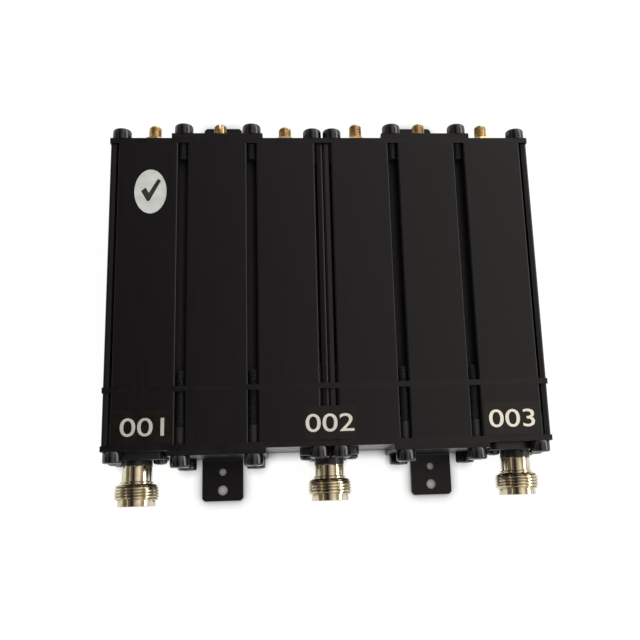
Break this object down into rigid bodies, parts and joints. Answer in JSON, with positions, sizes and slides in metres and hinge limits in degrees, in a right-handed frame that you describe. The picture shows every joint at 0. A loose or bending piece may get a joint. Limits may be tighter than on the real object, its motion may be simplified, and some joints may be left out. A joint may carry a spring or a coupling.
{
  "type": "cavity duplexer",
  "caption": "Flat radio duplexer: extruded cavity blocks between bolted plates, brass tuning screws at one end, threaded coaxial ports at the other, tab brackets at both.",
  "frame": {"origin": "centre of the four large bracket holes, on the back plane of the body", "axes": "+X across the body from the low port to the high port, +Y from the ports to the tuning screws, +Z out of the front face"},
  "size_m": [0.16, 0.1536, 0.0306],
  "materials": {
    "painted_black": "satin black paint over aluminium",
    "black_steel": "blackened steel",
    "brass": "bare brass, fine thread",
    "nickel": "nickel plate",
    "gilt_contact": "gilt",
    "silvered_wire": "silver plate",
    "white_plastic": "waxy white fluoroplastic",
    "label_film": "dark olive label film, semi-gloss",
    "sticker_foil": "pale silver sticker, satin"
  },
  "bodies": {
    "housing": {"cavity_block_low": "painted_black", "cavity_block_high": "painted_black", "coupling_block_low": "painted_black", "coupling_block_high": "painted_black", "tuning_end_plate": "painted_black", "partition_plate": "painted_black", "connector_end_plate": "painted_black", "tuning_bracket_low": "painted_black", "tuning_bracket_high": "painted_black", "port_bracket_low": "painted_black", "port_bracket_high": "painted_black", "tuning_end_screws": "black_steel", "port_end_screws": "black_steel", "resonator_1": "brass", "resonator_2": "brass", "resonator_3": "brass", "resonator_4": "brass", "resonator_5": "brass", "resonator_6": "brass", "resonator_screws": "black_steel", "tuner_bushes": "brass", "lock_nuts": "brass", "coupling_loop_1": "silvered_wire", "coupling_loop_2": "silvered_wire", "coupling_loop_3": "silvered_wire", "coupling_loop_4": "silvered_wire", "coupling_loop_5": "silvered_wire", "coupling_loop_6": "silvered_wire", "feed_bushes": "white_plastic", "feed_line_low": "silvered_wire", "feed_line_high": "silvered_wire", "line_supports": "white_plastic", "port_body_low": "nickel", "port_body_middle": "nickel", "port_body_high": "nickel", "port_insulator_low": "white_plastic", "port_insulator_middle": "white_plastic", "port_insulator_high": "white_plastic", "port_contact_low": "gilt_contact", "port_contact_middle": "gilt_contact", "port_contact_high": "gilt_contact", "flange_screws": "black_steel", "port_label_1": "label_film", "port_label_2": "label_film", "port_label_3": "label_film", "oval_sticker": "sticker_foil"},
    "sleeve_1": {"tuner_sleeve_1": "white_plastic"},
    "screw_1": {"tuning_screw_1": "brass"},
    "sleeve_2": {"tuner_sleeve_2": "white_plastic"},
    "screw_2": {"tuning_screw_2": "brass"},
    "sleeve_3": {"tuner_sleeve_3": "white_plastic"},
    "screw_3": {"tuning_screw_3": "brass"},
    "sleeve_4": {"tuner_sleeve_4": "white_plastic"},
    "screw_4": {"tuning_screw_4": "brass"},
    "sleeve_5": {"tuner_sleeve_5": "white_plastic"},
    "screw_5": {"tuning_screw_5": "brass"},
    "sleeve_6": {"tuner_sleeve_6": "white_plastic"},
    "screw_6": {"tuning_screw_6": "brass"}
  },
  "joints": [
    {"name": "tuner_1_travel", "type": "slide", "parent": "housing", "child": "sleeve_1", "axis": [0, 1, 0], "range_m": [-0.005, 0.004]},
    {"name": "tuner_1_turn", "type": "hinge", "parent": "sleeve_1", "child": "screw_1", "pos_m": [-0.0656, 0.05865, 0.015], "axis": [0, 1, 0], "range_deg": [-2250, 1800]},
    {"name": "tuner_2_travel", "type": "slide", "parent": "housing", "child": "sleeve_2", "axis": [0, 1, 0], "range_m": [-0.005, 0.004]},
    {"name": "tuner_2_turn", "type": "hinge", "parent": "sleeve_2", "child": "screw_2", "pos_m": [-0.0399, 0.05865, 0.015], "axis": [0, 1, 0], "range_deg": [-2250, 1800]},
    {"name": "tuner_3_travel", "type": "slide", "parent": "housing", "child": "sleeve_3", "axis": [0, 1, 0], "range_m": [-0.005, 0.004]},
    {"name": "tuner_3_turn", "type": "hinge", "parent": "sleeve_3", "child": "screw_3", "pos_m": [-0.0142, 0.05865, 0.015], "axis": [0, 1, 0], "range_deg": [-2250, 1800]},
    {"name": "tuner_4_travel", "type": "slide", "parent": "housing", "child": "sleeve_4", "axis": [0, 1, 0], "range_m": [-0.005, 0.004]},
    {"name": "tuner_4_turn", "type": "hinge", "parent": "sleeve_4", "child": "screw_4", "pos_m": [0.0142, 0.05865, 0.015], "axis": [0, 1, 0], "range_deg": [-2250, 1800]},
    {"name": "tuner_5_travel", "type": "slide", "parent": "housing", "child": "sleeve_5", "axis": [0, 1, 0], "range_m": [-0.005, 0.004]},
    {"name": "tuner_5_turn", "type": "hinge", "parent": "sleeve_5", "child": "screw_5", "pos_m": [0.0399, 0.05865, 0.015], "axis": [0, 1, 0], "range_deg": [-2250, 1800]},
    {"name": "tuner_6_travel", "type": "slide", "parent": "housing", "child": "sleeve_6", "axis": [0, 1, 0], "range_m": [-0.005, 0.004]},
    {"name": "tuner_6_turn", "type": "hinge", "parent": "sleeve_6", "child": "screw_6", "pos_m": [0.0656, 0.05865, 0.015], "axis": [0, 1, 0], "range_deg": [-2250, 1800]}
  ],
  "couplings": [
    {"joint": "tuner_1_turn", "follows": "tuner_1_travel", "rad_per_m": 7854},
    {"joint": "tuner_2_turn", "follows": "tuner_2_travel", "rad_per_m": 7854},
    {"joint": "tuner_3_turn", "follows": "tuner_3_travel", "rad_per_m": 7854},
    {"joint": "tuner_4_turn", "follows": "tuner_4_travel", "rad_per_m": 7854},
    {"joint": "tuner_5_turn", "follows": "tuner_5_travel", "rad_per_m": 7854},
    {"joint": "tuner_6_turn", "follows": "tuner_6_travel", "rad_per_m": 7854}
  ]
}
